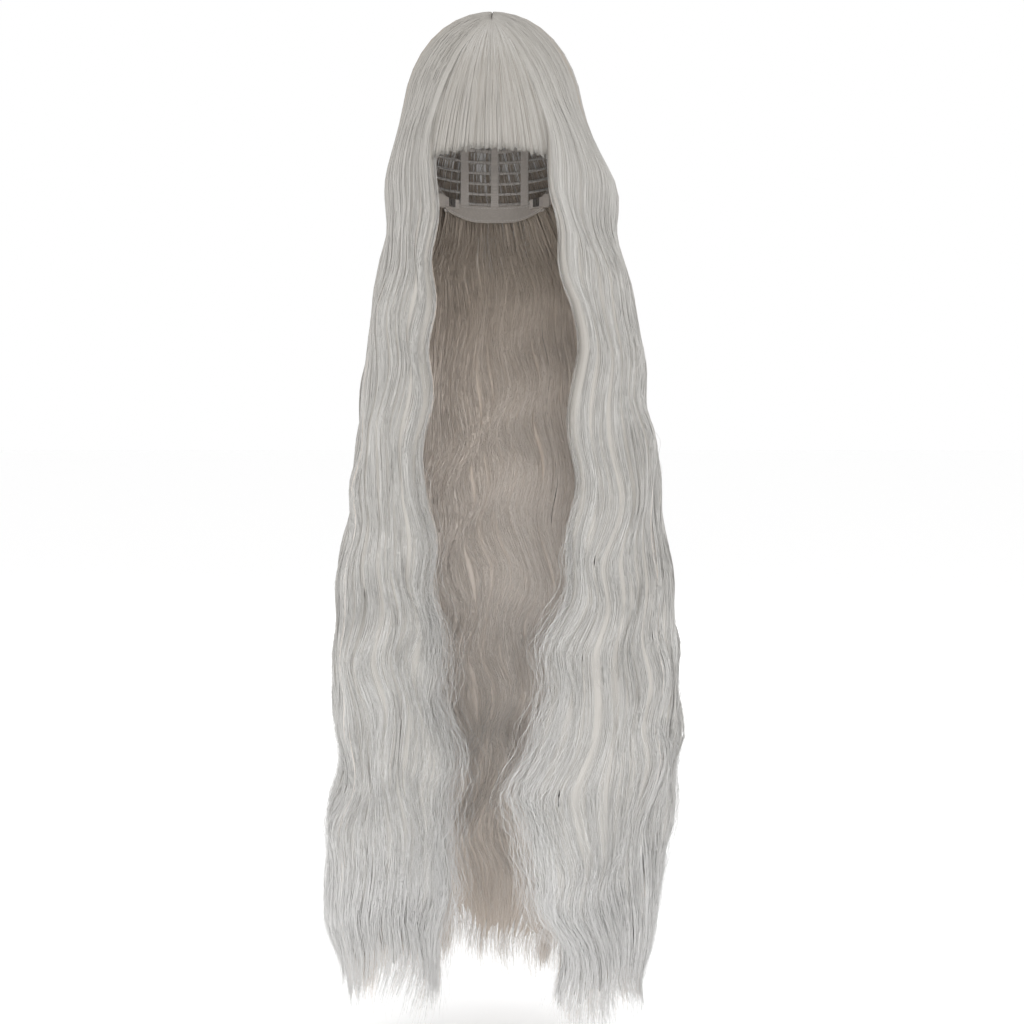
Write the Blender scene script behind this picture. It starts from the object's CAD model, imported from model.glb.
"""The costume wig: every lock, strand, weft and stitch of it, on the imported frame. Metres, row frame.

Bearings round the head are radians from the front, positive towards the wearer's left (+X).
Depth in the hair is 0 on its outside and 1 on its inside.
"""

from math import cos, pi, radians, sin

import bpy
import numpy as np
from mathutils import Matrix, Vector


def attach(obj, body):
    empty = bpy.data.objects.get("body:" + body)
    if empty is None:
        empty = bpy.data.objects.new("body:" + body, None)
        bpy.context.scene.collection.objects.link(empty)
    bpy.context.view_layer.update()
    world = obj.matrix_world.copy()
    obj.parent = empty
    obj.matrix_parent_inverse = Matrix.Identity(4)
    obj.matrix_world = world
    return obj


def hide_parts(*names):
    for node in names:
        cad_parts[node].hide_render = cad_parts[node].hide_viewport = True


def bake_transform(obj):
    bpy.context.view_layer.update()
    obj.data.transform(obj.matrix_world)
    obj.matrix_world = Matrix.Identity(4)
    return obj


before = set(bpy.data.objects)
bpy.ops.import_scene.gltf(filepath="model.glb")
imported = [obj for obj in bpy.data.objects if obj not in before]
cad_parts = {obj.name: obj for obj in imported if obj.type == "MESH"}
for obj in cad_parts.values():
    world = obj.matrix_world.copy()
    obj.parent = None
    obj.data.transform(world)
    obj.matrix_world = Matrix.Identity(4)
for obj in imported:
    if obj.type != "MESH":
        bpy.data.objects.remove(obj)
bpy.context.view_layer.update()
MM = 0.001

# ---------------------------------------------------------------- the head and the hair's overall shape
HEAD = np.array([78.0, 98.0, 112.0]) * MM
CROWN_COVER = 20.0 * MM  # how far the outermost hair lies outside the head
CROWN_BULGE = 4.0 * MM  # and how much further where the crown is roundest
HAIR_DEPTH = 14.0 * MM
LAUNCH_Z = 4.0 * MM  # below this the hair hangs free of the head

# The hanging mantle from the top down, in mm: height, half width, half depth, shifts left and back, depth
MANTLE = np.array([
    (40, 94, 113, 0, 0, 14),
    (4, 104, 117, 1, 0, 14),
    (-10, 112, 118, 3, 0, 15),
    (-32, 122, 119, 7, 1, 17),
    (-50, 127, 119, 9, 1, 18),
    (-70, 122, 119, 10, 2, 19),
    (-90, 119, 120, 9, 3, 20),
    (-120, 129, 120, 8, 4, 22),
    (-150, 144, 120, 10, 5, 24),
    (-172, 148, 119, 12, 6, 25),
    (-215, 146, 119, 13, 7, 26),
    (-262, 158, 119, 11, 8, 27),
    (-284, 165, 119, 11, 9, 28),
    (-325, 164, 119, 15, 10, 29),
    (-370, 179, 120, 14, 11, 30),
    (-430, 176, 120, 12, 12, 30),
    (-480, 186, 120, 11, 13, 30),
    (-530, 198, 121, 11, 14, 30),
    (-582, 190, 121, 14, 15, 30),
    (-635, 206, 121, 19, 15, 30),
    (-686, 190, 120, 14, 16, 29),
    (-745, 199, 120, 4, 16, 28),
    (-815, 184, 119, -3, 17, 24),
    (-880, 185, 119, -4, 17, 22),
    (-960, 179, 118, -7, 17, 20),
]) * MM
# The front locks' inner edges, in mm, as heights and distances from the middle
EDGE_LEFT = np.array([
    (4, 57), (-60, 62), (-112, 73), (-165, 89), (-213, 92), (-307, 89), (-411, 87), (-500, 70),
    (-565, 54), (-670, 40), (-778, 48), (-865, 66), (-960, 80),
]) * MM
EDGE_RIGHT = np.array([
    (4, 60), (-32, 63), (-112, 65), (-166, 72), (-219, 75), (-260, 76), (-365, 80), (-420, 73),
    (-540, 60), (-700, 54), (-850, 56), (-960, 68),
]) * MM

FRINGE_ANGLE = 31.0
FALLS = {
    "front_lock_left": (31, 72),
    "side_fall_left": (72, 118),
    "back_fall_left": (118, 158),
    "back_fall_centre": (158, 202),
    "back_fall_right": (202, 242),
    "side_fall_right": (242, 288),
    "front_lock_right": (288, 329),
}
FALL_REPLACES = {
    "front_lock_left": ["crown_hair_left"],
    "side_fall_left": [],
    "back_fall_left": [],
    "back_fall_centre": ["crown_hair_back"],
    "back_fall_right": [],
    "side_fall_right": [],
    "front_lock_right": ["crown_hair_right"],
}
# Where the hair ends, in mm, by bearing in degrees
END_BEARING = [30, 60, 90, 120, 180, 240, 270, 300, 330]
END_HEIGHT = [-910, -925, -935, -955, -965, -950, -910, -905, -895]

LOWEST = -984.0 * MM

WAVE_LENGTH = 108.0 * MM  # lengthens on the way down
WAVE_SIDEWAYS = 5.6 * MM
WAVE_OUTWARDS = 3.8 * MM

STRANDS_PER_DEGREE = 13
SHORT_STRANDS_PER_DEGREE = 10
VEILS_PER_DEGREE = 0.1
POINTS_PER_PIECE = 32000
LOCK_DEGREES = 6.4
GROOVE = 1.4 * MM
SHEET_OUTER = 0.11
SHEET_INNER = 0.9
OVER_SHEET = (0.2, 0.9)  # how far outside their sheet strands lie, in mm


# ---------------------------------------------------------------- shape of the head and of the mantle
def smooth_step(x, low, high):
    """0 below low, 1 above high and smooth between."""
    t = np.clip((x - low) / (high - low), 0, 1)
    return t * t * (3 - 2 * t)


FINE_Z = np.linspace(-1.0, 0.06, 213)


def smoothed(column):
    """One column of MANTLE as a smooth line over FINE_Z."""
    table = MANTLE[::-1]
    line = np.interp(FINE_Z, table[:, 0], table[:, column])
    padded = np.pad(line, 5, mode="edge")
    window = np.hanning(11)
    return np.convolve(padded, window / window.sum(), mode="valid")


HALF_WIDTH, HALF_DEPTH, SHIFT_LEFT, SHIFT_BACK, DEPTH = (smoothed(column) for column in range(1, 6))


def mantle_point(angle, depth, z):
    """The point of the mantle at an ellipse angle, a depth in the hair and a height."""
    thick = np.interp(z, FINE_Z, DEPTH) * depth
    x = np.interp(z, FINE_Z, SHIFT_LEFT) + (np.interp(z, FINE_Z, HALF_WIDTH) - thick) * np.sin(angle)
    y = np.interp(z, FINE_Z, SHIFT_BACK) - (np.interp(z, FINE_Z, HALF_DEPTH) - thick) * np.cos(angle)
    return np.stack([x, y, z + 0 * x], axis=-1)


def edge_angle(z):
    """The ellipse angles of the front locks' inner edges, on the left and on the right."""
    width = np.interp(z, FINE_Z, HALF_WIDTH)
    shift = np.interp(z, FINE_Z, SHIFT_LEFT)
    left = np.interp(z, EDGE_LEFT[::-1, 0], EDGE_LEFT[::-1, 1]) - shift
    right = np.interp(z, EDGE_RIGHT[::-1, 0], EDGE_RIGHT[::-1, 1]) + shift
    return np.arcsin(left / width), np.arcsin(right / width)


def angle_at(bearing, z):
    """The ellipse angle of a bearing at a height: the hair spreads evenly between the inner edges."""
    left, right = edge_angle(z)
    first = radians(FRINGE_ANGLE)
    share = (bearing - first) / (pi - first)
    on_left = left + (pi - left) * share
    on_right = pi + (pi - right) * (share - 1)
    return np.where(share < 1, on_left, on_right)


def crown_point(unit, depth):
    """The point over the head in a direction of the unit sphere, at a depth in the hair."""
    bulge = CROWN_BULGE * (2 * unit[..., 2] * np.sqrt(1 - np.minimum(unit[..., 2] ** 2, 1))) ** 2
    cover = CROWN_COVER + bulge - HAIR_DEPTH * depth
    return unit * (HEAD + cover[..., None])


def outward(points):
    """The direction away from the head or from the mantle's middle, for each point."""
    spread = points / HEAD**2
    spread[..., 2] = np.maximum(points[..., 2], 0) / HEAD[2] ** 2
    return spread / np.linalg.norm(spread, axis=-1, keepdims=True)


def along(points):
    """The direction along each path."""
    step = np.gradient(points, axis=1)
    return step / np.maximum(np.linalg.norm(step, axis=-1, keepdims=True), 1e-9)


def crown_shares(steps, closed=False):
    """How far along its way over the head each step of a path is."""
    return np.concatenate([ROOT_STEPS, np.linspace(0.07, 1, steps - len(ROOT_STEPS), endpoint=closed)])


def slerp(start, end, share):
    """From one unit direction to another, over the sphere."""
    gap = np.arccos(np.clip((start * end).sum(-1, keepdims=True), -1, 1))
    gap = np.maximum(gap, 1e-4)[:, None, :]
    share = share[None, :, None] if share.ndim == 1 else share[..., None]
    near = np.sin((1 - share) * gap) / np.sin(gap)
    far = np.sin(share * gap) / np.sin(gap)
    return near * start[:, None, :] + far * end[:, None, :]


# ---------------------------------------------------------------- where each path starts
PART_FRONT_Y = -60.0 * MM
PART_BACK_Y = 24.0 * MM
ROOT_STEPS = [0, 0.003, 0.012, 0.035]  # the first steps over the head, where hair rises from the scalp
ROOT_RISE = 0.004
EASING = 2  # steps of an 84-step path


def roots(bearing, side_gap, jitter, rng):
    """The unit directions of the roots: along the parting, and round the whorl for the back."""
    turn = np.abs(np.where(bearing > pi, bearing - 2 * pi, bearing))
    along_part = np.interp(turn, np.radians([30, 50, 80, 110, 135, 180]), [0, 0.12, 0.45, 0.8, 1, 1])
    y = PART_FRONT_Y + (PART_BACK_Y - PART_FRONT_Y) * along_part + rng.normal(0, 1, bearing.shape) * jitter
    x = np.sin(bearing) * side_gap + np.sign(np.sin(bearing)) * 0.1 * MM
    behind = smooth_step(turn, radians(125), radians(150))
    y = y + behind * (side_gap - np.cos(bearing) * 2 * MM)
    flat = np.stack([x / HEAD[0], y / HEAD[1]], axis=-1)
    up = np.sqrt(np.maximum(1 - (flat**2).sum(-1), 0.05))
    return np.concatenate([flat, up[:, None]], axis=-1)


def ring(bearing):
    """The unit directions on the launch ring."""
    angle = angle_at(bearing, LAUNCH_Z)
    lift = LAUNCH_Z / HEAD[2]
    level = np.sqrt(1 - lift**2)
    return np.stack([np.sin(angle) * level, -np.cos(angle) * level, np.full(len(bearing), lift)], axis=-1)


# ---------------------------------------------------------------- locks and waves
class Locks:
    """The locks side by side round the head. Hair gathers to their middles, and grooves part them."""

    def __init__(self, degrees_wide, rng):
        edges = [radians(FRINGE_ANGLE)]
        for low, high in FALLS.values():
            count = round((high - low) / degrees_wide)
            inner = np.arange(1, count) + rng.uniform(-0.25, 0.25, count - 1)
            edges.extend(np.radians(low + (high - low) * inner / count))
            edges.append(radians(high))
        self.edges = np.array(sorted(edges))
        count = len(self.edges) - 1
        self.middle = (self.edges[1:] + self.edges[:-1]) / 2
        self.half = (self.edges[1:] - self.edges[:-1]) / 2
        self.pinch = rng.uniform(0.1, 0.5, count)
        self.phase = rng.normal(0, 0.2, count)
        self.relief = rng.uniform(0.5, 1.3, count)
        self.beat = rng.uniform(0, 2 * pi, count)

    def of(self, bearing):
        """The lock of each bearing."""
        return np.clip(np.searchsorted(self.edges, bearing) - 1, 0, len(self.middle) - 1)


def swell(bearing, waves):
    """A smooth function of the bearing: a sum of (turns, height, start) sines."""
    return sum(height * np.sin(turns * bearing + start) for turns, height, start in waves)


PHASE = [(2, 0.9, 0.6), (5, 0.6, 2.1), (9, 0.35, 0.4)]
STRETCH = [(3, 0.03, 1.0), (7, 0.015, 3.0)]
STRENGTH = [(4, 0.14, 2.2), (11, 0.12, 0.3)]
LENGTH = [(6, 9 * MM, 0.2), (13, 7 * MM, 1.0), (29, 7 * MM, 4.0)]


def wave(place, lock, locks, z, phase_shift, amount):
    """Sideways and outward offsets of the waves at heights z."""
    reach = smooth_step(-z, 0.005, 0.13)
    reach = reach * (1 + 0.3 * smooth_step(-z, 0.25, 0.5) - 0.3 * smooth_step(-z, 0.6, 0.9))
    turns = 2 * pi * z / (WAVE_LENGTH * (1 + swell(place, STRETCH)) * (1 - 0.15 * z))
    turns = turns + 0.7 * np.sin(2 * pi * z / 0.37 + 4 * place + 5.2)
    phase = turns + swell(place, PHASE) + (locks.phase[lock] + phase_shift)[:, None]
    strength = (1 + swell(place, STRENGTH)) * amount[:, None] * reach
    side = WAVE_SIDEWAYS * strength * np.sin(phase)
    out = WAVE_OUTWARDS * strength * np.sin(phase + 1.3)
    crimp = 2.2 * MM * smooth_step(-z, 0.25, 0.55) * (1 - 0.6 * smooth_step(-z, 0.75, 0.95)) * amount[:, None]
    side = side + crimp * np.sin(2 * pi * z / 0.074 + 1.2 + 3 * np.sin(3 * place) + 2 * phase_shift[:, None])
    wander = smooth_step(-z, 0.05, 0.6)
    side = side + wander * 6 * MM * np.sin(2 * pi * z / 0.41 + 1.6 * np.sin(2 * place + 0.3))
    side = side + wander * 4 * MM * np.sin(2 * pi * z / 0.23 + 1.6 * np.sin(3 * place + 2.0))
    out = out + wander * 4 * MM * np.sin(2 * pi * z / 0.31 + 1.6 * np.sin(4 * place + 4.1))
    return side, out


def eased(points, corner):
    """Paths with the change of direction at one step spread over its neighbours."""
    reach = EASING * points.shape[1] // 84
    window = np.hanning(2 * reach + 3)[1:-1]
    padded = np.pad(points, ((0, 0), (reach, reach), (0, 0)), mode="edge")
    smooth = sum(weight * padded[:, k:k + points.shape[1]] for k, weight in enumerate(window / window.sum()))
    share = 1 - smooth_step(np.abs(np.arange(points.shape[1]) - corner), reach * 0.5, reach * 1.6)
    return points + (smooth - points) * share[None, :, None]


def paths(bearing, depth, end, steps, rng, gather=None, frizz=None):
    """The hair's paths from the parting, over the head and down through the waves.

    depth may change along each path. gather is how far a strand is drawn to its lock's middle and
    frizz how unruly it is.
    """
    count = len(bearing)
    in_order = gather is None
    jitter = 0 if in_order else 2 * MM
    gap = np.full(count, 0.3 * MM) if in_order else rng.uniform(-0.7, 0.9, count) * MM
    gather = np.zeros(count) if in_order else gather
    depth = np.broadcast_to(depth if depth.ndim == 2 else depth[:, None], (count, steps))
    crown_steps = steps // 6
    lock = locks.of(bearing)

    root = roots(bearing, gap, jitter, rng)
    gate = ring(bearing)
    share = crown_shares(crown_steps)
    above = depth[:, :crown_steps]
    on_head = crown_point(slerp(root, gate, share), above)
    buried = 1 - smooth_step(share, 0, ROOT_RISE)[None, :]
    on_head = on_head - outward(on_head) * ((CROWN_COVER - HAIR_DEPTH * above - 4 * MM) * buried)[..., None]

    end = np.maximum(end, LOWEST)
    z = LAUNCH_Z + (end[:, None] - LAUNCH_Z) * np.linspace(0, 1, steps - crown_steps)[None, :]
    below = depth[:, crown_steps:]
    beat = 0.75 + 0.25 * np.sin(2 * pi * z / 0.19 + locks.beat[lock][:, None])
    drawn = smooth_step(-z, 0.0, 0.2) * (1 - 0.7 * smooth_step(-z, 0.7, 0.95))
    drawn = drawn * (gather * locks.pinch[lock])[:, None] * beat
    place = bearing[:, None] + (locks.middle[lock] - bearing)[:, None] * drawn
    hanging = mantle_point(angle_at(place, z), below, z)
    base = eased(np.concatenate([on_head, hanging], axis=1), crown_steps)
    on_head, hanging = base[:, :crown_steps], base[:, crown_steps:]

    side, out = wave(place, lock, locks, z, rng.normal(0, 0.1, count) * gather, 1 + rng.normal(0, 0.08, count) * gather)
    across = (bearing - locks.middle[lock]) / locks.half[lock]
    face = 1 - 2 * smooth_step(below, 0.3, 0.7)
    parted = smooth_step(-z, 0.0, 0.15) * (1 - 0.6 * smooth_step(-z, 0.7, 0.9))
    groove = GROOVE * (locks.relief[lock] * across**2)[:, None] * parted * beat
    out = out - groove * face
    if frizz is not None:
        loose = 0.15 + 0.85 * smooth_step(-z, 0.0, 0.75)
        for length, size in ((0.33, 5.0), (0.12, 2.2), (0.052, 1.1)):
            turn = 2 * pi * z / (length * rng.uniform(0.8, 1.25, count))[:, None]
            start = rng.uniform(0, 2 * pi, (2, count))
            reach = (frizz * size * MM)[:, None] * loose
            side = side + reach * np.sin(turn + start[0][:, None])
            out = out + 0.25 * reach * np.sin(turn * 0.9 + start[1][:, None])
    away = outward(hanging)
    sideways = np.stack([-away[..., 1], away[..., 0], 0 * away[..., 0]], axis=-1)
    hanging = hanging + sideways * side[..., None] + away * out[..., None]
    return np.concatenate([on_head, hanging], axis=1)


# ---------------------------------------------------------------- meshes
def tubes(points, across, radii, sides, squash=1.0, lobes=None):
    """Closed tubes along paths: vertices, quads and triangles, and UVs in one strip for each tube."""
    count, steps = points.shape[:2]
    forward = along(points)
    side = np.cross(forward, across)
    side = side / np.maximum(np.linalg.norm(side, axis=-1, keepdims=True), 1e-9)
    up = np.cross(side, forward)
    turn = np.arange(sides) * 2 * pi / sides
    if lobes is None:
        lobes = np.ones((count, 1, sides))
    wide = radii[..., None] * lobes * np.cos(turn)
    tall = radii[..., None] * lobes * np.sin(turn) * squash
    verts = points[:, :, None, :] + wide[..., None] * side[:, :, None, :] + tall[..., None] * up[:, :, None, :]
    return verts


def curtain(outer, inner):
    """One closed sheet: the paths of its outer face one way and of its inner face back again."""
    loop = np.concatenate([outer, inner[::-1]])
    return loop.transpose(1, 0, 2)[None]


def strip_mesh(name, verts, tone, material):
    """One object of many tubes, (tube, step, side) points. tone is a value for each point or step."""
    count, steps, sides = verts.shape[:3]
    tone = np.broadcast_to(tone if tone.ndim == 3 else tone[..., None], (count, steps, sides))
    index = np.arange(count * steps * sides).reshape(count, steps, sides)
    near, far = index[:, :-1], index[:, 1:]
    quads = np.stack([near, np.roll(near, -1, 2), np.roll(far, -1, 2), far], axis=-1).reshape(-1, 4)
    u = np.arange(steps) / (steps - 1)
    v = (np.arange(count)[:, None] + np.arange(sides + 1)[None, :] / sides) / count
    corner = np.empty((count, steps - 1, sides, 4, 2), np.float32)
    corner[..., 0, 0] = corner[..., 1, 0] = u[:-1][None, :, None]
    corner[..., 2, 0] = corner[..., 3, 0] = u[1:][None, :, None]
    corner[..., 0, 1] = corner[..., 3, 1] = v[:, None, :-1]
    corner[..., 1, 1] = corner[..., 2, 1] = v[:, None, 1:]

    if sides == 3:
        lids = np.arange(3)[None]
    else:
        near_side = np.arange(sides // 2 - 1)
        lids = np.stack([near_side, near_side + 1, sides - 2 - near_side, sides - 1 - near_side], axis=-1)
    caps = np.concatenate([index[:, 0][:, lids[:, ::-1]], index[:, -1][:, lids]]).reshape(-1, lids.shape[1])
    cap_uv = np.zeros((2, count, *lids.shape, 2), np.float32)
    cap_uv[0, ..., 1] = v[:, lids[:, ::-1]]
    cap_uv[1, ..., 1] = v[:, lids]
    cap_uv[1, ..., 0] = 1

    mesh = bpy.data.meshes.new(name)
    loops = np.concatenate([quads.ravel(), caps.ravel()]).astype(np.int32)
    starts = np.concatenate([np.arange(len(quads)) * 4, len(quads) * 4 + np.arange(len(caps)) * lids.shape[1]])
    mesh.vertices.add(verts.size // 3)
    mesh.vertices.foreach_set("co", verts.astype(np.float32).ravel())
    mesh.loops.add(len(loops))
    mesh.loops.foreach_set("vertex_index", loops)
    mesh.polygons.add(len(starts))
    mesh.polygons.foreach_set("loop_start", starts.astype(np.int32))
    mesh.polygons.foreach_set("use_smooth", np.ones(len(starts), bool))
    mesh.update(calc_edges=True)
    layer = mesh.uv_layers.new(name="OFBake")
    layer.data.foreach_set("uv", np.concatenate([corner.reshape(-1, 2), cap_uv.reshape(-1, 2)]).ravel())
    shade = mesh.attributes.new("tone", "FLOAT", "POINT")
    shade.data.foreach_set("value", tone.reshape(-1).astype(np.float32))
    mesh.validate()
    mesh.materials.append(material)
    piece = bpy.data.objects.new(name, mesh)
    bpy.context.scene.collection.objects.link(piece)
    return piece


# ---------------------------------------------------------------- materials
def new_material(name, **sockets):
    """A material with a Principled shader, and the values of the shader's own sockets."""
    material = bpy.data.materials.new(name)
    material.use_nodes = True
    shader = material.node_tree.nodes["Principled BSDF"]
    for socket, value in sockets.items():
        shader.inputs[socket.replace("_", " ")].default_value = value
    return material, material.node_tree, shader


def ramp_node(tree, stops):
    """A colour ramp with these (position, colour) stops."""
    node = tree.nodes.new("ShaderNodeValToRGB")
    elements = node.color_ramp.elements
    while len(elements) < len(stops):
        elements.new(0.5)
    for element, (position, colour) in zip(elements, stops):
        element.position = position
        element.color = (*colour, 1)
    return node


def hair_material(name, stops, roughness, streaks, relief=0.0):
    """Hair: its tone comes from each strand, with fine streaks that run along it."""
    material, tree, shader = new_material(name, Roughness=roughness, Specular_IOR_Level=0.35)
    tone = tree.nodes.new("ShaderNodeAttribute")
    tone.attribute_name = "tone"
    place = tree.nodes.new("ShaderNodeUVMap")
    place.uv_map = "OFBake"
    scale = tree.nodes.new("ShaderNodeMapping")
    scale.inputs["Scale"].default_value = streaks
    noise = tree.nodes.new("ShaderNodeTexNoise")
    noise.inputs["Scale"].default_value = 1.0
    noise.inputs["Detail"].default_value = 3.0
    mix = tree.nodes.new("ShaderNodeMath")
    mix.operation = "MULTIPLY_ADD"
    mix.inputs[1].default_value = 0.16
    offset = tree.nodes.new("ShaderNodeMath")
    offset.operation = "SUBTRACT"
    offset.inputs[1].default_value = 0.08
    ramp = ramp_node(tree, stops)
    tree.links.new(place.outputs["UV"], scale.inputs["Vector"])
    tree.links.new(scale.outputs["Vector"], noise.inputs["Vector"])
    tree.links.new(noise.outputs["Fac"], mix.inputs[0])
    tree.links.new(tone.outputs["Fac"], mix.inputs[2])
    tree.links.new(mix.outputs[0], offset.inputs[0])
    tree.links.new(offset.outputs[0], ramp.inputs["Fac"])
    tree.links.new(ramp.outputs["Color"], shader.inputs["Base Color"])
    if relief:
        bump = tree.nodes.new("ShaderNodeBump")
        bump.inputs["Strength"].default_value = 0.6
        bump.inputs["Distance"].default_value = relief
        tree.links.new(noise.outputs["Fac"], bump.inputs["Height"])
        tree.links.new(bump.outputs["Normal"], shader.inputs["Normal"])
    return material


def textile(name, dark, light, pitch, relief, roughness=0.85):
    """Knitted or woven cloth: fine bands three ways round, with a little fuzz."""
    material, tree, shader = new_material(name, Roughness=roughness, Specular_IOR_Level=0.25)
    place = tree.nodes.new("ShaderNodeTexCoord")
    threads = []
    for direction in "XYZ":
        wave_node = tree.nodes.new("ShaderNodeTexWave")
        wave_node.bands_direction = direction
        wave_node.inputs["Scale"].default_value = pi / 10 / pitch
        wave_node.inputs["Distortion"].default_value = 1.2
        tree.links.new(place.outputs["Object"], wave_node.inputs["Vector"])
        threads.append(wave_node.outputs["Fac"])
    fuzz = tree.nodes.new("ShaderNodeTexNoise")
    fuzz.inputs["Scale"].default_value = 0.35 / pitch
    tree.links.new(place.outputs["Object"], fuzz.inputs["Vector"])
    height = threads[0]
    for other in threads[1:] + [fuzz.outputs["Fac"]]:
        mix = tree.nodes.new("ShaderNodeMix")
        mix.inputs["Factor"].default_value = 0.42
        tree.links.new(height, mix.inputs["A"])
        tree.links.new(other, mix.inputs["B"])
        height = mix.outputs["Result"]
    ramp = ramp_node(tree, [(0.25, dark), (0.75, light)])
    bump = tree.nodes.new("ShaderNodeBump")
    bump.inputs["Strength"].default_value = 0.7
    bump.inputs["Distance"].default_value = relief
    tree.links.new(height, ramp.inputs["Fac"])
    tree.links.new(height, bump.inputs["Height"])
    tree.links.new(ramp.outputs["Color"], shader.inputs["Base Color"])
    tree.links.new(bump.outputs["Normal"], shader.inputs["Normal"])
    return material


def moulded(name, dark, light, roughness):
    """Moulded plastic, clouded a little."""
    material, tree, shader = new_material(name, Roughness=roughness)
    place = tree.nodes.new("ShaderNodeTexCoord")
    cloud = tree.nodes.new("ShaderNodeTexNoise")
    cloud.inputs["Scale"].default_value = 260.0
    ramp = ramp_node(tree, [(0.3, dark), (0.7, light)])
    tree.links.new(place.outputs["Object"], cloud.inputs["Vector"])
    tree.links.new(cloud.outputs["Fac"], ramp.inputs["Fac"])
    tree.links.new(ramp.outputs["Color"], shader.inputs["Base Color"])
    return material


SILVER = [
    (0.0, (0.26, 0.235, 0.205)),
    (0.3, (0.36, 0.34, 0.31)),
    (0.55, (0.45, 0.435, 0.41)),
    (0.8, (0.58, 0.572, 0.553)),
    (0.92, (0.75, 0.745, 0.735)),
    (1.0, (0.80, 0.796, 0.788)),
]
# The same hair turned inwards: warmer near the nape and paler towards the ends
INNER = [
    (0.0, (0.40, 0.335, 0.27)),
    (0.35, (0.57, 0.495, 0.425)),
    (0.7, (0.84, 0.785, 0.73)),
    (1.0, (0.92, 0.885, 0.845)),
]
HAIR = [(place / 2, colour) for place, colour in SILVER] + [(0.52 + place * 0.48, colour) for place, colour in INNER]
strand_hair = hair_material("strand_hair", HAIR, 0.45, (9.0, 900.0, 1.0))
sheet_hair = hair_material("sheet_hair", HAIR, 0.6, (3.0, 330.0, 1.0), relief=0.25 * MM)


def outside(tone):
    """The tone of hair that faces outwards, as a place on the ramp."""
    return np.clip(tone, 0.1, 0.92) / 2


def inside(z):
    """The tone of hair that faces inwards at a height."""
    return 0.56 + 0.42 * np.interp(-z, [0.05, 0.12, 0.2, 0.47, 0.7, 0.95], [0.0, 0.12, 0.35, 0.68, 0.68, 0.55])

# ---------------------------------------------------------------- the long hair
locks = Locks(LOCK_DEGREES, np.random.default_rng(71))


def shade(down):
    """How much paler or darker hair is along its length."""
    return np.interp(down, [0, 0.1, 0.22, 0.5, 0.72, 0.82, 0.9, 1], [-0.15, -0.15, 0.03, 0.13, 0.21, 0.24, 0.34, 0.4])


def end_of(bearing):
    """The height at which the hair of a bearing ends."""
    return np.interp(np.degrees(bearing), END_BEARING, END_HEIGHT) * MM + swell(bearing, LENGTH)


def place_fall(piece):
    """The upper part of a fall stays with the cap and the rest swings with its own body."""
    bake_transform(piece)


def fall_sheet(fall):
    """The closed sheet below the strands of a fall, with a groove between each lock and the next."""
    low, high = FALLS[fall]
    steps, columns = 150, round((high - low) / 0.7)
    own = np.random.default_rng(int(low) + 5)
    degrees = np.linspace(low + 0.03, high - 0.03, columns)
    bearing = np.radians(degrees)
    down = np.linspace(0, 1, steps)
    from_edge = np.clip(np.minimum(degrees - degrees[0], degrees[-1] - degrees) / 3.0, 0, 1)
    lost = (0.94 - 0.94 * np.sqrt(1 - (1 - from_edge) ** 2))[:, None] * smooth_step(down, 0.15, 0.24)[None, :]
    thick = (1 - 0.94 * smooth_step(down, 0.9, 1.0))[None, :] * (1 - lost)
    end = end_of(bearing) + (42 + 9 * np.sin(np.arange(columns) * 1.9) + own.normal(0, 8, columns)) * MM
    faces = []
    for depth in (SHEET_OUTER, SHEET_INNER):
        deep = 0.5 + (depth - 0.5) * thick
        faces.append(paths(bearing, deep, end, steps, np.random.default_rng(int(low) + 5)))
    sheet = curtain(*faces)
    outer = outside(np.interp(down, [0, 0.2, 0.5, 0.8, 1], [0.36, 0.37, 0.40, 0.52, 0.74]))[None, :, None]
    faces_out = np.concatenate([np.ones(columns, bool), from_edge[::-1] < 0.4])
    tone = np.where(faces_out, outer, inside(sheet[..., 2]) - 0.08)
    return strip_mesh(f"sheet_{fall}", sheet, tone, sheet_hair)


def off_sheet(outer, height, steps):
    """The depth along each strand that lies this far, in mm, off the outer or inner face of its sheet."""
    thickness = np.interp(np.linspace(0, 1, steps), [0, 0.17, 0.3, 0.55, 0.85, 1], [14, 14, 18, 28, 28, 21])
    face = np.where(outer, SHEET_OUTER, SHEET_INNER)[:, None]
    return face + (np.where(outer, -height, height)[:, None] / thickness[None, :])


def strand_pieces(fall, kind, points, radii, tone, rng):
    """Strands as objects of a few hundred each."""
    order = np.argsort(rng.random(len(points)))
    pieces = []
    for number, share in enumerate(np.array_split(order, -(-points[..., 0].size // POINTS_PER_PIECE)), 1):
        built = tubes(points[share], outward(points[share]), radii[share], 3)
        pieces.append(strip_mesh(f"{kind}_{fall}_{number}", built, tone[share], strand_hair))
    return pieces


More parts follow.
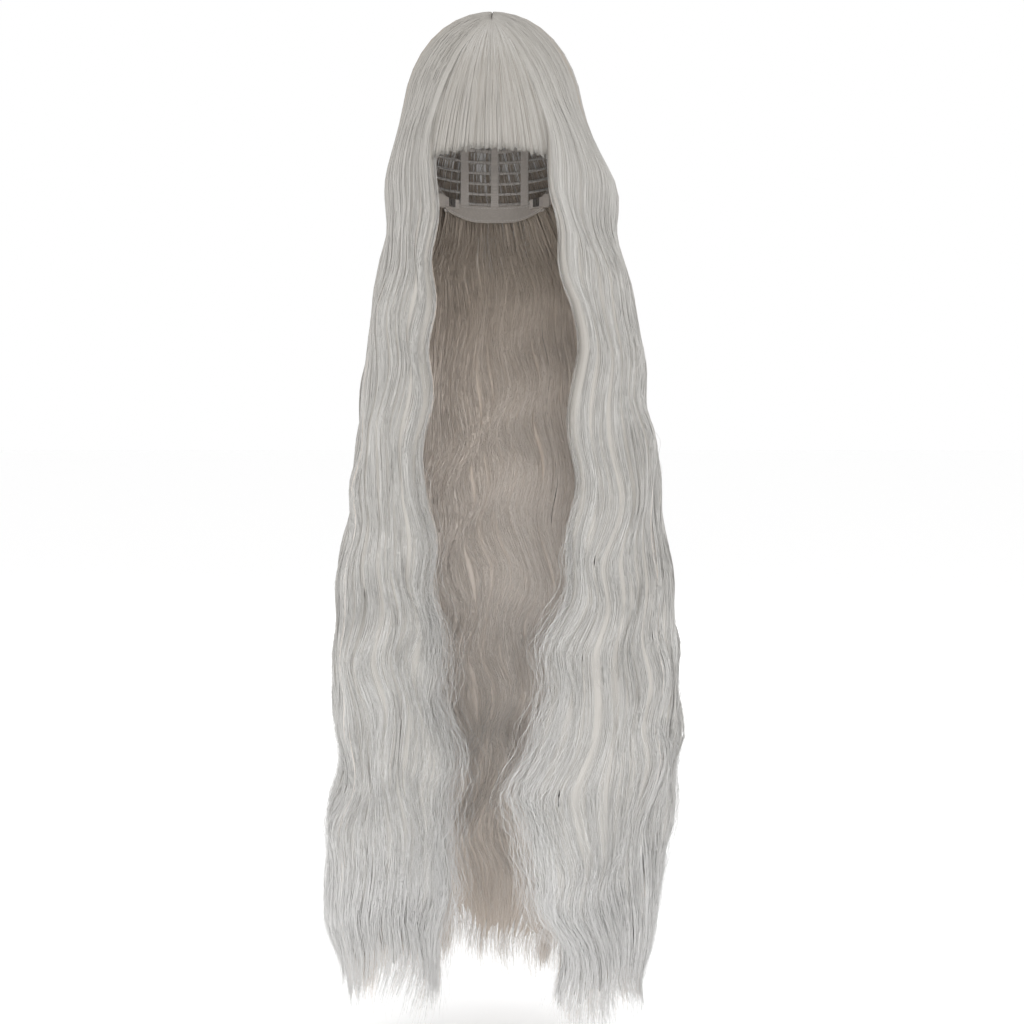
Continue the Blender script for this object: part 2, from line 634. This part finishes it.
def fall_strands(fall):
    """The long strands of a fall, from the parting to the ends: over both faces and down both edges."""
    low, high = FALLS[fall]
    own = np.random.default_rng(int(low) * 3 + 11)
    count = int((high - low) * STRANDS_PER_DEGREE)
    steps = 84
    degrees = own.uniform(low + 0.2, high - 0.2, count)
    outer = own.random(count) < 0.76
    depth = off_sheet(outer, own.uniform(*OVER_SHEET, count), steps)
    below_head = smooth_step(np.linspace(0, 1, steps), 0.16, 0.26)
    stray = own.random(count) < 0.05
    over_seam = np.zeros(count, bool)
    for edge, inwards in ((low, 1), (high, -1)):
        beside_face = edge in (FRINGE_ANGLE, 360 - FRINGE_ANGLE)
        chosen = own.choice(count, 130 if beside_face else 100, replace=False)
        degrees[chosen] = edge + inwards * own.uniform(0.1 if beside_face else -0.5, 2.4 if beside_face else 1.6, len(chosen))
        if not beside_face:
            over_seam[chosen] = own.random(len(chosen)) < 0.6
        chosen = chosen[~over_seam[chosen]]
        outer[chosen] = beside_face
        within = own.uniform(0.05, 0.95, (len(chosen), 1))
        depth[chosen] = depth[chosen] + (within - depth[chosen]) * below_head
    frizz = np.where(stray, own.uniform(0.9, 2.2, count), own.uniform(0.08, 0.4, count))
    gather = np.where(stray | over_seam, 0.0, own.uniform(0.4, 1.2, count))
    bearing = np.radians(degrees)
    end = end_of(bearing) - own.normal(0, 6, count) * MM + own.exponential(9, count) * MM
    points = paths(bearing, depth, end, steps, own, gather, frizz)
    down = np.linspace(0, 1, steps)[None, :]
    thick = np.where(stray, own.uniform(0.12, 0.2, count), own.uniform(0.2, 0.4, count)) * MM
    taper = (1 - 0.5 * smooth_step(down, 0.9, 1.0)) * (0.6 + 0.4 * smooth_step(down, 0, 0.12))
    varied = own.normal(0, 0.04, (count, 1))
    tone = np.where(outer[:, None], outside(0.58 + varied + shade(down)), inside(points[..., 2]) + varied / 2)
    return strand_pieces(fall, "strands", points, thick[:, None] * taper, tone, own)


def short_strands(fall):
    """Shorter, looser strands that come out of the lower half of a fall and fill its ends."""
    low, high = FALLS[fall]
    own = np.random.default_rng(int(low) * 7 + 3)
    count = int((high - low) * SHORT_STRANDS_PER_DEGREE)
    steps, skip = 84, 44
    bearing = np.radians(own.uniform(low + 0.3, high - 0.3, count))
    surface = np.where(own.random(count) < 0.6, own.uniform(0.05, 0.12, count), own.uniform(0.88, 0.98, count))
    emerging = smooth_step(np.linspace(0, 1, steps)[None, :], own.uniform(0.5, 0.75, (count, 1)), 0.92)
    depth = 0.5 + (surface - 0.5)[:, None] * emerging
    end = end_of(bearing) + own.normal(0, 12, count) * MM
    points = paths(bearing, depth, end, steps, own, own.uniform(0, 0.8, count), own.uniform(0.6, 1.8, count))
    down = np.linspace(0, 1, steps - skip)[None, :]
    thick = own.uniform(0.13, 0.28, count)[:, None] * MM * (1 - 0.6 * smooth_step(down, 0.85, 1.0))
    points = points[:, skip:]
    varied = own.normal(0, 0.04, (count, 1))
    outer = outside(0.56 + varied + shade(np.linspace(0, 1, steps))[skip:])
    tone = np.where(surface[:, None] < 0.5, outer, inside(points[..., 2]) + varied / 2)
    return strand_pieces(fall, "short_strands", points, thick, tone, own)


def veils(fall):
    """Loose bundles that wander over the outside of a fall and cross one another."""
    low, high = FALLS[fall]
    own = np.random.default_rng(int(low) * 13 + 29)
    bundles, size = int((high - low) * VEILS_PER_DEGREE), 11
    steps, skip = 84, 18
    count = bundles * size
    middle = np.repeat(own.uniform(low + 3, high - 3, bundles), size)
    bearing = np.radians(middle + own.normal(0, 0.45, count))
    height = np.linspace(0, 1, steps)[None, :]
    start, length, lean = own.uniform(0, 2 * pi, bundles), own.uniform(0.16, 0.34, bundles), own.uniform(7, 15, bundles)
    rise = np.repeat(own.uniform(0.25, 0.6, bundles), size)[:, None]
    depth = 0.3 - (0.23 + own.uniform(-0.015, 0.015, (count, 1))) * smooth_step(height, rise, rise + 0.12)
    end = end_of(bearing) + np.repeat(own.uniform(0, 120, bundles), size) * MM + own.normal(0, 10, count) * MM
    points = paths(bearing, depth, end, steps, own, np.zeros(count), own.uniform(0.1, 0.3, count))[:, skip:]
    away = outward(points.copy())
    sideways = np.stack([-away[..., 1], away[..., 0], 0 * away[..., 0]], axis=-1)
    turn = 2 * pi * points[..., 2] / np.repeat(length, size)[:, None] + np.repeat(start, size)[:, None]
    lean = np.repeat(lean, size)[:, None] * MM * smooth_step(-points[..., 2], 0.1, 0.4)
    points = points + sideways * (lean * np.sin(turn) * inside_fall(bearing, low, high)[:, None])[..., None]
    down = np.linspace(0, 1, steps - skip)[None, :]
    thick = own.uniform(0.16, 0.3, count)[:, None] * MM * (1 - 0.7 * smooth_step(down, 0.7, 1.0))
    tone = outside(0.5 + own.normal(0, 0.04, (count, 1)) + shade(np.linspace(0, 1, steps))[skip:])
    return strand_pieces(fall, "veils", points, thick, tone, own)


def inside_fall(bearing, low, high):
    """1 well inside a fall and smaller towards its edges, so that nothing leans into the next one."""
    degrees = np.degrees(bearing)
    return smooth_step(np.minimum(degrees - low, high - degrees), 0.0, 7.0)


FLYAWAYS = 130


def frizz_strands(fall):
    """The fine, curly flyaways over a fall and down its edge beside the face."""
    low, high = FALLS[fall]
    own = np.random.default_rng(int(low) * 17 + 7)
    down_edge = 320 if FRINGE_ANGLE in (low, 360 - high) else 0
    count = down_edge + FLYAWAYS
    steps, skip = 96, 44
    beside_face = np.arange(count)[:, None] < down_edge
    spread = np.where(beside_face[:, 0], own.uniform(0.3, 12, count), own.uniform(2, high - low - 2, count))
    degrees = high - spread if high > 300 else low + spread
    bearing = np.radians(degrees)
    surface = np.where(own.random(count) < 0.7, own.uniform(-0.07, 0.06, count), own.uniform(0.95, 1.2, count))
    surface = np.where(beside_face[:, 0], own.uniform(0.2, 1.25, count), surface)
    emerging = smooth_step(np.linspace(0, 1, steps)[None, :], own.uniform(0.5, 0.7, (count, 1)), 0.8)
    depth = 0.5 + (surface - 0.5)[:, None] * emerging
    end = end_of(bearing) + own.exponential(60, count) * MM
    points = paths(bearing, depth, end, steps, own, np.zeros(count), own.uniform(1.2, 3.0, count))[:, skip:]
    down = np.linspace(0, 1, steps - skip)[None, :]
    away = outward(points.copy())
    sideways = np.stack([-away[..., 1], away[..., 0], 0 * away[..., 0]], axis=-1)
    towards_middle = -np.sign(np.sin(bearing))[:, None]
    reach = smooth_step(down, 0.05, 0.5) * np.minimum(own.exponential(11, (count, 1)), 24) * MM * beside_face
    points = points + sideways * (towards_middle * reach)[..., None]
    for length, size in ((0.036, 1.6), (0.021, 0.9)):
        turn = 2 * pi * points[..., 2] / (length * own.uniform(0.8, 1.3, (count, 1))) + own.uniform(0, 6, (count, 1))
        curl = size * MM * smooth_step(down, 0, 0.3) * own.uniform(0.5, 1.3, (count, 1))
        points = points + sideways * (curl * np.sin(turn))[..., None] + away * (curl * np.cos(turn))[..., None]
    thick = own.uniform(0.1, 0.17, count)[:, None] * MM * (1 - 0.6 * smooth_step(down, 0.8, 1.0))
    tone = outside(0.62 + own.normal(0, 0.05, (count, 1)) + shade(np.linspace(0, 1, steps))[skip:])
    return strand_pieces(fall, "frizz", points, thick, tone, own)


for fall in FALLS:
    sheet = fall_sheet(fall)
    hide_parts(fall, *FALL_REPLACES[fall])
    place_fall(sheet)
    for piece in fall_strands(fall) + short_strands(fall) + veils(fall) + frizz_strands(fall):
        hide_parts(fall)
        place_fall(piece)

# ---------------------------------------------------------------- hair sewn to the lower wefts
# The height of each row, in mm, and the bearing in degrees at which the cap's rim cuts it off
WEFT_ROWS = [(-53, 130), (-41, 124), (-29, 119), (-17, 116), (-5, 113)]
WEFT_STRANDS_PER_DEGREE = 1.6
WEFT_STEPS = 38


def weft_hair(fall):
    """Hair from the lower wefts, which leaves the cap and joins the inner face of the fall."""
    low, high = FALLS[fall]
    own = np.random.default_rng(int(low) * 19)
    count = int((high - low) * WEFT_STRANDS_PER_DEGREE)
    steps = 84
    lines = []
    for row, first_turn in WEFT_ROWS:
        height = row * MM
        bearing = np.radians(own.uniform(max(low + 0.4, first_turn), min(high - 0.4, 360 - first_turn), count))
        end = end_of(bearing) + own.uniform(60, 260, count) * MM
        points = paths(bearing, off_sheet(np.zeros(count, bool), own.uniform(0.3, 2.5, count), steps), end, steps, own,
                       own.uniform(0.3, 1.0, count), own.uniform(0.2, 0.7, count))
        first = steps // 6 + int((LAUNCH_Z - height) / 0.0125)
        points = points[:, np.linspace(first, steps - 1, WEFT_STEPS).astype(int)]
        level = np.sqrt(1 - (height / HEAD[2]) ** 2)
        angle = angle_at(bearing, np.full(count, height))
        out = (HEAD[:2] + 3.5 * MM) * level
        root = np.stack([out[0] * np.sin(angle), -out[1] * np.cos(angle), np.full(count, height)], axis=-1)
        joined = smooth_step(height - points[..., 2], -0.012, 0.07)[..., None]
        sewn = root[:, None, :] * (1 - joined) + points * joined
        sewn[..., 2] = np.minimum(points[..., 2], height)
        lines.append(sewn)
    lines = np.concatenate(lines)
    down = np.linspace(0, 1, WEFT_STEPS)[None, :]
    thick = own.uniform(0.22, 0.4, len(lines))[:, None] * MM * (1 - 0.6 * smooth_step(down, 0.9, 1.0))
    tone = inside(lines[..., 2]) + own.normal(0, 0.02, (len(lines), 1))
    return strand_pieces(fall, "weft_hair", lines, thick, tone, own)


for fall in ("back_fall_left", "back_fall_centre", "back_fall_right"):
    for piece in weft_hair(fall):
        place_fall(piece)

# ---------------------------------------------------------------- the fringe
FRINGE_STRANDS = 2400
FRINGE_END_Z = -22.0 * MM
FRINGE_SPREAD = 41.0  # its sides reach in under the front locks


def fringe_paths(x_share, depth, own, steps, length_noise, ordered=False):
    """Paths from the front of the parting down to the blunt edge."""
    count = len(x_share)
    loose = 0 if ordered else MM
    root_x = x_share * 2.4 * MM + own.normal(0, 0.5, count) * loose
    root_y = PART_FRONT_Y - 1 * MM * (1 - np.abs(x_share)) + own.normal(0, 1.0, count) * loose
    flat = np.stack([root_x / HEAD[0], root_y / HEAD[1]], axis=-1)
    root = np.concatenate([flat, np.sqrt(1 - (flat**2).sum(-1))[:, None]], axis=-1)
    edge = FRINGE_END_Z + 4 * MM * (0.5 - x_share**2) + length_noise
    lift = edge / HEAD[2]
    level = np.sqrt(1 - lift**2)
    angle = x_share * radians(FRINGE_SPREAD)
    target = np.stack([np.sin(angle) * level, -np.cos(angle) * level, lift], axis=-1)
    share = crown_shares(steps, closed=True)
    tucked = 0.14 * smooth_step(np.abs(x_share), 0.8, 1.0)[:, None] * smooth_step(share, 0, 0.5)[None, :]
    cover = depth[:, None] + tucked
    points = crown_point(slerp(root, target, share), cover)
    sink = (CROWN_COVER - HAIR_DEPTH * depth - 4 * MM)[:, None, None] * (1 - smooth_step(share, 0, ROOT_RISE)[None, :, None])
    return points - outward(points) * sink


def fringe_pieces():
    """The fringe: a closed sheet below, fine straight strands above."""
    steps, columns = 34, 72
    share = np.linspace(0, 1, steps)[None, :]
    column = np.linspace(-0.985, 0.985, columns)
    short = (2.5 + 0.8 * np.sin(np.arange(columns) * 2.3)) * MM
    faces = []
    for depth in (0.15, 0.66):
        own = np.random.default_rng(404)
        faces.append(fringe_paths(column, np.full(columns, depth), own, steps, short, ordered=True))
    own = np.random.default_rng(405)
    tone = outside(np.where(np.arange(2 * columns) < columns, 0.32, 0.2) + own.normal(0, 0.02, 2 * columns))
    made = [strip_mesh("sheet_fringe", curtain(*faces), tone[None, None, :] + 0 * share[..., None], sheet_hair)]

    count = FRINGE_STRANDS
    x_share = np.sort(own.uniform(-1, 1, count))
    tuft = np.round(x_share * 17) / 17
    x_share = x_share + (tuft - x_share) * own.uniform(0.0, 0.35, count)
    depth = np.where(own.random(count) < 0.82, own.uniform(0.06, 0.13, count), own.uniform(0.68, 0.74, count))
    tip = own.normal(0, 1.0, count) * MM + 1.0 * MM * np.sin(tuft * 40)
    points = fringe_paths(x_share, depth, own, steps, tip)
    radii = own.uniform(0.18, 0.34, count)[:, None] * MM * (1 - 0.5 * smooth_step(share, 0.94, 1)) + 0 * share
    at_top = smooth_step(share, 0.05, 0.2) * (1 - smooth_step(share, 0.3, 0.55))
    glow = np.where(own.random(count) < 0.16, -0.26, 0.15)[:, None] * at_top
    tone = outside(0.37 + own.normal(0, 0.09, (count, 1)) + 0.04 * np.sin(tuft * 61)[:, None] + glow)
    for number, chosen in enumerate(np.array_split(np.argsort(own.random(count)), 3), 1):
        built = tubes(points[chosen], outward(points[chosen]), radii[chosen], 3)
        made.append(strip_mesh(f"strands_fringe_{number}", built, tone[chosen], strand_hair))
    return made


for piece in fringe_pieces():
    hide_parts("fringe", "crown_hair_front")
    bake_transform(piece)

# ---------------------------------------------------------------- the cap
# Its lower rim from the forehead to the nape, in mm, as distances back and heights
RIM_Y = [-120, -74, -60, -34, -10, 18, 32, 48, 62, 78, 120]
RIM_Z = [70, 68, 54, 26, 15, 15, 2, -36, -54, -62, -62]
NET_OUT = 1.6 * MM
NET_THREADS = 66


def rim_height(y):
    """The height of the cap's rim at a distance back."""
    return np.interp(y / MM, RIM_Y, RIM_Z) * MM


def on_head(unit, out):
    """The point this far outside the head in a direction of the unit sphere."""
    return unit * (HEAD + out)


def resampled(line, steps):
    """A line with its steps evenly spaced."""
    walked = np.concatenate([[0], np.cumsum(np.linalg.norm(np.diff(line, axis=0), axis=1))])
    even = np.linspace(0, walked[-1], steps)
    return np.stack([np.interp(even, walked, line[:, axis]) for axis in range(3)], axis=-1)


def net_threads():
    """The threads of the net: two families that wind down from the crown and cross in diamonds."""
    latitude = np.linspace(radians(80), radians(-42), 400)
    lines = []
    for turn in (1, -1):
        for number in range(NET_THREADS):
            azimuth = 2 * pi * number / NET_THREADS + turn * (pi / 2 - latitude) * 0.55
            unit = np.stack([np.sin(azimuth) * np.cos(latitude), -np.cos(azimuth) * np.cos(latitude), np.sin(latitude)], -1)
            line = on_head(unit, NET_OUT + turn * 0.12 * MM)
            inside = line[:, 2] > rim_height(line[:, 1]) + 1.5 * MM
            lines.append(resampled(line[: np.argmin(inside)], 56))
    return np.array(lines)


def rim_line(lift, out):
    """One side of the cap's rim, raised by lift, from the middle of the nape to the forehead."""
    level_back, level_front = RIM_Z[-1] * MM + lift, RIM_Z[1] * MM + lift
    size = HEAD + out
    corners = []
    for x in np.linspace(0, 60 * MM, 120):
        corners.append((x, size[1] * np.sqrt(1 - (x / size[0]) ** 2 - (level_back / size[2]) ** 2), level_back))
    y = np.linspace(80 * MM, -72 * MM, 300)
    z = rim_height(y) + lift
    x = size[0] * np.sqrt(np.maximum(1 - (y / size[1]) ** 2 - (z / size[2]) ** 2, 0))
    corners = [corner for corner in corners if corner[1] > 80 * MM] + [c for c in zip(x, y, z) if c[1] < 80 * MM]
    last = corners[-1][0]
    for x in np.linspace(last, 0, 80)[1:]:
        corners.append((x, -size[1] * np.sqrt(1 - (x / size[0]) ** 2 - (level_front / size[2]) ** 2), level_front))
    return np.array(corners)


def stitches(line, length, pitch):
    """Short dashes along a line."""
    walked = np.linalg.norm(np.diff(line, axis=0), axis=1).sum()
    count = int(walked / pitch)
    even = resampled(line, count * 12 + 1)
    share = round(12 * length / pitch)
    return np.array([resampled(even[12 * k:12 * k + share + 1], 4) for k in range(count)])


def tape_line(x, out):
    """A line over the crown at a distance from the middle, from the front band to the nape band."""
    size = HEAD + out
    turn = np.linspace(radians(-40), radians(222), 300)
    reach = np.sqrt(1 - (x / size[0]) ** 2)
    line = np.stack([np.full(300, x), -size[1] * reach * np.cos(turn), size[2] * reach * np.sin(turn)], -1)
    return line[line[:, 2] > rim_height(line[:, 1]) + 20 * MM]


def weft_seams():
    """The overlock zigzag that holds each weft to the net."""
    lines = []
    for row in range(12):
        height = (-53 + 12 * row + 1.5) * MM
        front = -46 * MM if row > 5 else (46 + max(0, -(height / MM + 18.5)) * 0.4) * MM
        size = HEAD + 2.0 * MM
        level = np.sqrt(1 - (height / size[2]) ** 2)
        start = np.arccos(np.clip(-front / (size[1] * level), -1, 1)) + 0.03
        angle = np.linspace(start, 2 * pi - start, 420)
        zigzag = 1.3 * MM * (np.arange(420) % 2 * 2 - 1)
        lines.append(np.stack([size[0] * level * np.sin(angle), -size[1] * level * np.cos(angle), height + zigzag], -1))
    return np.array(lines)


def thread_piece(name, lines, radius, material):
    """Threads along lines, as one object on the cap."""
    radii = np.full(lines.shape[:2], radius)
    built = tubes(lines, outward(lines.copy()), radii, 4)
    piece = strip_mesh(name, built, np.full(lines.shape[:2], 0.5), material)
    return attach(piece, "cap")


def mirror(lines):
    """The same lines on the wearer's other side too."""
    return np.concatenate([lines, lines * np.array([-1, 1, 1])])


net_cloth = textile("net_thread", (0.34, 0.31, 0.28), (0.48, 0.44, 0.41), 0.5 * MM, 0.1 * MM)
band_cloth = textile("band_jersey", (0.40, 0.365, 0.33), (0.58, 0.535, 0.49), 0.9 * MM, 0.25 * MM)
tape_cloth = textile("tape_twill", (0.46, 0.425, 0.39), (0.65, 0.605, 0.56), 0.7 * MM, 0.2 * MM)
tab_cloth = textile("tab_velour", (0.38, 0.345, 0.31), (0.54, 0.50, 0.455), 0.6 * MM, 0.25 * MM)
scalp_cloth = textile("scalp_fabric", (0.66, 0.50, 0.40), (0.80, 0.64, 0.53), 0.5 * MM, 0.1 * MM, 0.7)
weft_cloth = textile("weft_track", (0.45, 0.415, 0.38), (0.64, 0.595, 0.55), 0.8 * MM, 0.3 * MM, 0.6)
elastic = textile("ribbed_elastic", (0.36, 0.325, 0.30), (0.55, 0.505, 0.47), 1.0 * MM, 0.3 * MM, 0.7)
hook_plastic = moulded("hook_plastic", (0.09, 0.085, 0.08), (0.15, 0.14, 0.125), 0.35)
stay_plastic = moulded("stay_plastic", (0.64, 0.62, 0.58), (0.76, 0.74, 0.70), 0.4)
sewing_thread = textile("sewing_thread", (0.55, 0.54, 0.52), (0.75, 0.74, 0.72), 0.4 * MM, 0.05 * MM, 0.6)

CAD_FINISHES = {
    "band": band_cloth, "ear_arch": band_cloth, "ear_tab": tab_cloth, "ear_stay": stay_plastic,
    "crown_tape": tape_cloth, "scalp_patch": scalp_cloth, "weft_row": weft_cloth, "adjuster_strap": elastic,
    "strap_sleeve": band_cloth, "strap_hook": hook_plastic, "hook_ladder": tape_cloth,
}
for name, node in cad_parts.items():
    for part_name, material in CAD_FINISHES.items():
        if part_name in name:
            for material_slot in node.material_slots:
                material_slot.link = "OBJECT"
                material_slot.material = material

net = thread_piece("net_threads", net_threads(), 0.22 * MM, net_cloth)
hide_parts("crown_net")
rims = [stitches(rim_line(lift * MM, -0.1 * MM), 2.3 * MM, 3.4 * MM) for lift in (2.5, 17.5)]
thread_piece("band_stitches", mirror(np.concatenate(rims)), 0.25 * MM, sewing_thread)
edges = [tape_line((middle + side * 3.4) * MM, -0.1 * MM) for middle in (0, 34, -34) for side in (1, -1)]
tapes = np.concatenate([stitches(line, 2.3 * MM, 3.4 * MM) for line in edges])
thread_piece("tape_stitches", tapes, 0.22 * MM, sewing_thread)
thread_piece("weft_seams", weft_seams(), 0.28 * MM, sewing_thread)

# ---------------------------------------------------------------- floor, light and camera
def stage_floor():
    """A plain pale floor, below the hair's ends."""
    bpy.ops.mesh.primitive_plane_add(size=30, location=(0, 0, -1.03))
    floor = bpy.context.object
    floor.name = "floor"
    material, _, _ = new_material("pale_floor", Base_Color=(0.99, 0.99, 0.99, 1), Roughness=1.0)
    floor.data.materials.append(material)


def softbox(name, place, target, size, power, colour):
    """A square soft light."""
    data = bpy.data.lights.new(name, "AREA")
    data.shape = "SQUARE"
    data.size = size
    data.energy = power
    data.color = colour
    light = bpy.data.objects.new(name, data)
    light.location = place
    light.rotation_euler = (Vector(target) - Vector(place)).to_track_quat("-Z", "Y").to_euler()
    bpy.context.scene.collection.objects.link(light)


def studio():
    """White surroundings with a soft key above the camera and two fills."""
    world = bpy.data.worlds.new("studio")
    world.use_nodes = True
    world.node_tree.nodes["Background"].inputs["Color"].default_value = (1, 1, 1, 1)
    world.node_tree.nodes["Background"].inputs["Strength"].default_value = 1.0
    bpy.context.scene.world = world
    bpy.context.scene.view_settings.view_transform = "Standard"
    softbox("key", (-0.3, -1.5, 1.7), (0, 0, 0), 1.0, 5, (1.0, 0.93, 0.86))
    softbox("front", (0.2, -2.2, -0.7), (0, 0, -0.75), 2.0, 36, (0.99, 0.99, 1.0))
    softbox("back", (0.4, 2.4, 0.6), (0, 0, -0.4), 1.6, 24, (1, 1, 1))


CAMERA_DISTANCE = 1.14
CAMERA_Z = -0.262
CAMERA_PITCH = 6.09


def place_camera():
    """The camera, in front and a little above the middle, looking slightly down."""
    data = bpy.data.cameras.new("camera")
    data.lens = 36.9
    data.sensor_width = 36.0
    data.clip_end = 60
    camera = bpy.data.objects.new("camera", data)
    camera.location = (0.0198, -CAMERA_DISTANCE, CAMERA_Z)
    camera.rotation_euler = (radians(90 - CAMERA_PITCH), 0, 0)
    bpy.context.scene.collection.objects.link(camera)
    bpy.context.scene.camera = camera


stage_floor()
studio()
place_camera()
